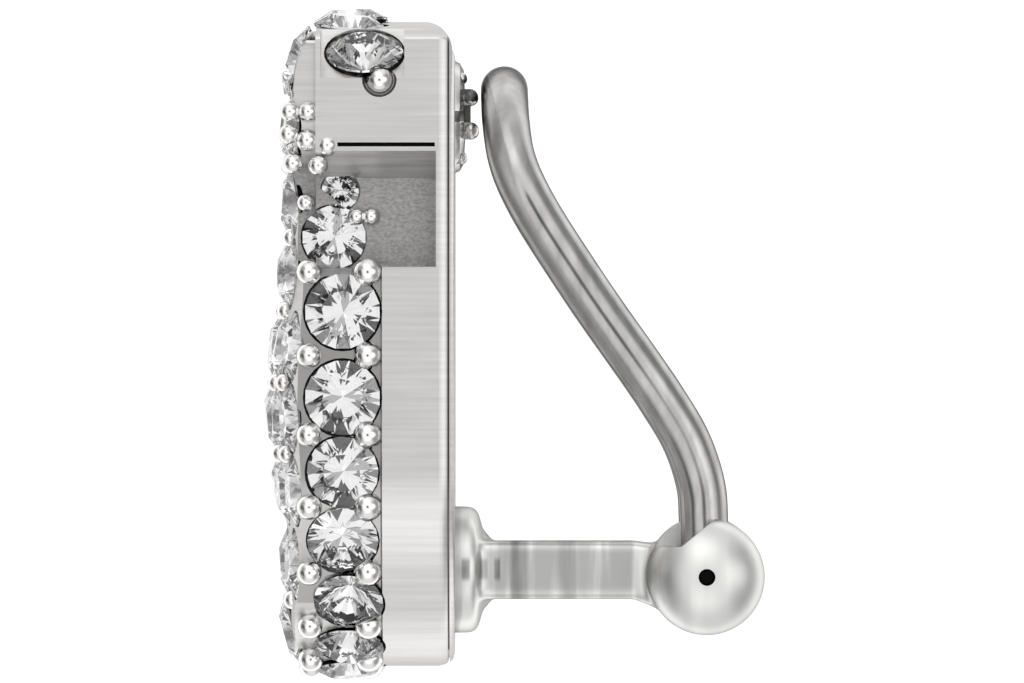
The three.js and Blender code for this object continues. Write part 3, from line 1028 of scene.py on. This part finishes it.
def turned_across(name, profile, x, y, segments):
    """A solid turned about a line across the width."""
    made = turned(name, profile, segments)
    made.data.transform(Matrix.Translation((x, y, 0)))
    return made


def rod(name, x, y, radius, z0, z1, segments=48):
    ends = [(0, z0), (radius, z0), (radius, z1), (0, z1)]
    return turned_across(name, ends, x, y, segments)


FOOT_PROFILE = (  # radius and distance out
    (0, -0.4), (1.9, -0.4), (1.9, 0.62), (1.84, 0.76), (1.7, 0.86),
    (1.5, 0.92), (1.2, 1.0), (1.0, 1.2), (0, 1.3),
)
BAR_STATIONS = (  # X, middle, half height and half width, from the foot into the barrel
    (0.9, ARM_HEIGHT, 0.87, 1.5), (5.5, ARM_HEIGHT, 0.87, 1.5), (6.1, HINGE.y, 0.95, 1.62),
    (6.6, HINGE.y, 1.2, 1.9), (7.2, HINGE.y, 1.5, 2.2),
)
BAR_EDGE = 0.24
QUARTERS = ((1, 1, 0), (1, -1, 90), (-1, -1, 180), (-1, 1, 270))  # of a section, and where each starts


def arm_solid():
    """The round foot and the bar, which widens into the barrel."""
    rings = []
    for x, centre, tall, wide in BAR_STATIONS:
        ring = []
        for up, across, start in QUARTERS:
            middle_y, middle_z = centre + up * (tall - BAR_EDGE), across * (wide - BAR_EDGE)
            for z, y in arc((middle_z, middle_y), BAR_EDGE, start, start + 90, 4):
                ring.append((x, y, z))
        rings.append(ring)
    foot = turned_outwards("arm", FOOT_PROFILE, ARM_HEIGHT)
    return boolean(foot, "UNION", loft("bar", rings))


def barrel():
    """The hinge's barrel, with a ball outside each leg's slot."""
    straight = LEG_HALF_SPACING + WIRE_RADIUS + RUNNING_GAP
    ball = BARREL_HALF_LENGTH - straight
    profile = [(0.0, -BARREL_HALF_LENGTH)]
    for t in np.radians(np.linspace(90, 0, 21)[1:]):
        profile.append((BARREL_RADIUS * math.cos(t), -straight - ball * math.sin(t)))
    profile += [(radius, -z) for radius, z in reversed(profile)]
    return turned_across("barrel", profile, HINGE.x, HINGE.y, 96)


SLOT_PAST = {"up": 4, "back": (12, HINGE.y + 3)}  # where the slots end, well past the barrel
CHEEK = ((6.9, -6.06), (7.92, -5.22), (7.92, 0), (4.0, 0), (4.0, -6.06))  # X and height


def leg_slot(side):
    """The room that a leg and its eye turn in, from closed to open."""
    half = WIRE_RADIUS + RUNNING_GAP
    z0, z1 = side * LEG_HALF_SPACING - half, side * LEG_HALF_SPACING + half
    left, past = LEG_X - half, SLOT_PAST["up"]
    slot = rod("slot", HINGE.x, HINGE.y, EYE_RADIUS + RUNNING_GAP, z0, z1)
    up = box_solid("up", (left, HINGE.y, z0), (left + past, HINGE.y + past, z1))
    slot = boolean(slot, "UNION", up)
    back = box_solid("back", (HINGE.x, HINGE.y - half, z0), (*SLOT_PAST["back"], z1))
    return boolean(slot, "UNION", back)


def cheek_cut(side):
    """What is filed off the top of the barrel in front of a leg."""
    inner = LEG_HALF_SPACING - WIRE_RADIUS - RUNNING_GAP
    z0, z1 = sorted((side * inner, side * (BARREL_HALF_LENGTH + 1)))
    return loft("cheek", [[(x, y, z) for x, y in CHEEK] for z in (z0, z1)])


EVEN_FROM = (4.0 * MM, 5.0 * MM)  # X in the row frame where the bar's bands fade out
BAR_MIDDLE = -6.75 * MM  # Y in the row frame
BAR_PAINTED_REFLECTIONS = (  # painted reflections, dark bands on the bar: X, half width, half height and strength
    (-1.4, 0.16, 0.42, 0.42), (-0.87, 0.16, 0.4, 0.3), (-0.46, 0.12, 0.42, 0.34),
    (0.22, 0.36, 3.0, 0.26), (1.62, 0.34, 3.0, 0.12),
)
BAR_GRAIN = (1500, 140, 300)
BAR_TONE = (0.6, 0.26)  # the darkest, and how much lighter a band is
BARREL_TONE = (0.8, 0.06)
SMOKE_ROUGHNESS = (0.44, 0.14)  # the most, and how much smoother a light band is


def smoky_metal():
    """Satin plate, its tone in random bands along the bar and nearly even on the barrel, and dark bands
    on the bar that are painted reflections.
    """
    material, tree, shader = new_material("smoky_plate_painted_reflections", Metallic=1.0, Specular_Tint=grey(0.25))
    place = add_node(tree, "ShaderNodeTexCoord")["Object"]
    cloud = grained(tree, place, BAR_GRAIN)
    split = add_node(tree, "ShaderNodeSeparateXYZ", None, {"Vector": place})
    past, height = split["X"], split["Y"] - BAR_MIDDLE
    even = past.between(*EVEN_FROM)
    darkest, swing = (bar + (barrel - bar) * even for bar, barrel in zip(BAR_TONE, BARREL_TONE))
    tone = darkest + swing * cloud.between(0.4, 0.6)
    for centre, half, tall, strength in BAR_PAINTED_REFLECTIONS:
        across = (1 - abs(past - centre * MM) / (half * MM)).between(0.0, 0.5)
        along = (1 - abs(height) / (tall * MM)).between(0.0, 0.5)
        tone = tone - strength * across * along
    plug(tree, varied_grey(tree, tone, (1.0, 1.0, 0.975)), shader.inputs["Base Color"])
    plug(tree, SMOKE_ROUGHNESS[0] - SMOKE_ROUGHNESS[1] * cloud, shader.inputs["Roughness"])
    return material


CASTING_GRAIN = 0.07  # size of the steps that the casting's edges are softened in
smoky = smoky_metal()
arm = boolean(arm_solid(), "UNION", barrel())
arm = applied(
    arm,
    ("REMESH", {"mode": "VOXEL", "voxel_size": CASTING_GRAIN, "adaptivity": 0.0}),
    ("SMOOTH", {"factor": 0.5, "iterations": 20}),
)
arm = boolean(coated(arm, smoky), "UNION", coated(barrel(), smoky))
for side in (-1, 1):
    arm = boolean(arm, "DIFFERENCE", coated(leg_slot(side), smoky))
    arm = boolean(arm, "DIFFERENCE", coated(cheek_cut(side), smoky))
# the bores are coated near black: painted shade inside them
for side in (-1, 1):
    z0, z1 = sorted(side * end for end in BORE_ENDS)
    arm = boolean(arm, "DIFFERENCE", coated(rod("bore", HINGE.x, HINGE.y, PIN_BORE, z0, z1, 32), painted_shade_black))
finished(arm, "earring")
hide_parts("setting")


PAD_HEIGHT = 6.78
PAD_PROFILE = ((0, -0.4), (1.7, -0.4), (1.7, 0.12), (1.62, 0.3), (1.4, 0.42), (0, 0.5))
RIDGES = (  # height, distance out, radius and half length
    (7.93, 0.34, 0.18, 1.0), (7.36, 0.60, 0.25, 1.4), (6.36, 0.62, 0.25, 1.4), (5.55, 0.33, 0.19, 1.0),
)
WEB = (0.97, 0.1)  # of a ridge: share of its thickness, and how much shorter
VALLEY = (6.4, 7.32, 0.62, 1.0)  # between the two tall ridges: its ends, depth and half length
DARK_BANDS = ((7.7, 8.05, 0.43), (7.22, 7.7, 0.43), (6.62, 7.0, 0.2))  # painted shade on the pad: from and to, and past which X


def ridge(x, y, radius, half):
    """A bar across the pad with rounded ends."""
    turns = np.linspace(0, math.pi / 2, 7)
    profile = [(radius * math.sin(t), -half + radius * (1 - math.cos(t))) for t in turns]
    profile += [(r, -z) for r, z in reversed(profile)]
    return turned_across("ridge", profile, x, y, 32)


def grip_pad():
    pad = turned_outwards("pad", PAD_PROFILE, PAD_HEIGHT)
    for y, x, radius, half in RIDGES:
        pad = boolean(pad, "UNION", ridge(x, y, radius, half))
        thick, long = radius * WEB[0], half - WEB[1]
        pad = boolean(pad, "UNION", box_solid("web", (0.0, y - thick, -long), (x, y + thick, long)))
    low, high, depth, half = VALLEY
    return boolean(pad, "UNION", box_solid("valley", (0.0, low, -half), (depth, high, half)))


def in_shade(centre, normal):
    """The sides of the upper ridges and the valley, painted dark as shade."""
    return any(low < centre.y < high and centre.x > out for low, high, out in DARK_BANDS)


pressed = plated_metal("pressed_pad", 0.72, 0.24, edge=0.2)
pad = coated(grip_pad(), pressed)
# the ridges' sides and the valley get the dark plate: painted shade
repaint(pad, shaded, in_shade)
finished(pad, "earring")
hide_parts("setting")


# --- Clip loop ---------------------------------------------------------------
# One polished wire bent to a long loop. Its legs end in flattened eyes that turn on the pin,
# and its round top presses on the grip pad.

COURSE = [  # X and height of a leg, from the eye to the top of the loop
    (LEG_X, -6.2), (7.6, -5.3), (7.53, -4.32), (7.11, -3.0), (6.36, -1.71),
    (4.01, 1.68), (2.37, 4.29), (1.86, 5.49), (1.68, 6.6), (1.63, 7.6),
]
LOOP_RADIUS = 3.5
SPREAD = (1.0, 0.6)  # where the legs begin to part, and the share of their length where they end
EYE_BORE = 0.32
DRAWN = (2500, 700, 2500)


def smooth_course(points, steps=24):
    """A centripetal spline through the points, finely sampled by length."""
    knots = [Vector(p) for p in points]
    knots = [2 * knots[0] - knots[1]] + knots + [2 * knots[-1] - knots[-2]]
    line = []
    for p0, p1, p2, p3 in zip(knots, knots[1:], knots[2:], knots[3:]):
        t0 = 0.0
        t1 = t0 + math.sqrt((p1 - p0).length)
        t2 = t1 + math.sqrt((p2 - p1).length)
        t3 = t2 + math.sqrt((p3 - p2).length)
        for t in np.linspace(t1, t2, steps, endpoint=False):
            a = p0.lerp(p1, (t - t0) / (t1 - t0))
            b = p1.lerp(p2, (t - t1) / (t2 - t1))
            c = p2.lerp(p3, (t - t2) / (t3 - t2))
            d = a.lerp(b, (t - t0) / (t2 - t0))
            e = b.lerp(c, (t - t1) / (t3 - t1))
            line.append(d.lerp(e, (t - t1) / (t2 - t1)))
    line.append(knots[-2])
    return line


def loop_line(count):
    """The loop's centreline: up one leg, round the top and down the other leg."""
    course = smooth_course(COURSE)
    lengths = np.concatenate([[0], np.cumsum([(b - a).length for a, b in zip(course, course[1:])])])
    xs, ys = [p.x for p in course], [p.y for p in course]
    straight = lengths[-1] - LOOP_RADIUS
    total = 2 * straight + math.pi * LOOP_RADIUS
    line = []
    for along in np.linspace(0, total, count):
        side = 1 if along < total / 2 else -1
        gone = min(along, total - along)
        if gone > straight:
            angle = (gone - straight) / LOOP_RADIUS
            gone = straight + LOOP_RADIUS * math.sin(angle)
            spacing = LOOP_RADIUS * math.cos(angle)
        else:
            share = min(1.0, max(0.0, (gone - SPREAD[0]) / (SPREAD[1] * straight - SPREAD[0])))
            smooth = share * share * (3 - 2 * share)
            spacing = LEG_HALF_SPACING + (LOOP_RADIUS - LEG_HALF_SPACING) * smooth
        line.append(Vector((np.interp(gone, lengths, xs), np.interp(gone, lengths, ys), side * spacing)))
    return line


def tube(name, line, radius, sides):
    """A round wire swept along a line, its section carried without twist."""
    rings = []
    across = (line[1] - line[0]).normalized().cross(Vector((0, 0, 1))).normalized()
    for i, place in enumerate(line):
        ahead = (line[min(i + 1, len(line) - 1)] - line[max(i - 1, 0)]).normalized()
        across = (across - ahead * across.dot(ahead)).normalized()
        other = ahead.cross(across)
        turns = np.linspace(0, 2 * math.pi, sides, endpoint=False)
        rings.append([place + radius * (math.cos(t) * across + math.sin(t) * other) for t in turns])
    return loft(name, rings)


wire = tube("clip_wire", loop_line(160), WIRE_RADIUS, 32)
for side in (-1, 1):
    middle = side * LEG_HALF_SPACING
    eye = rod("eye", HINGE.x, HINGE.y, EYE_RADIUS, middle - WIRE_RADIUS, middle + WIRE_RADIUS)
    wire = boolean(wire, "UNION", eye)
wire = boolean(wire, "DIFFERENCE", rod("eye_bore", HINGE.x, HINGE.y, EYE_BORE, -8, 8, 32))
drawn = plated_metal("drawn_wire", 0.54, 0.2, DRAWN, 0.4, 0.15)
coated(wire, drawn)
finished(wire, "clip")
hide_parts("omega_wire")


# --- Hinge pin ---------------------------------------------------------------
# A plain steel rod pushed through the balls and the eyes. It ends inside the balls, so only a
# dull end shows in each bore; it is coated near black, which is painted shade.

# the pin's ends are coated near black: painted shade in the bores
coated(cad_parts["hinge_pin"], painted_shade_black)
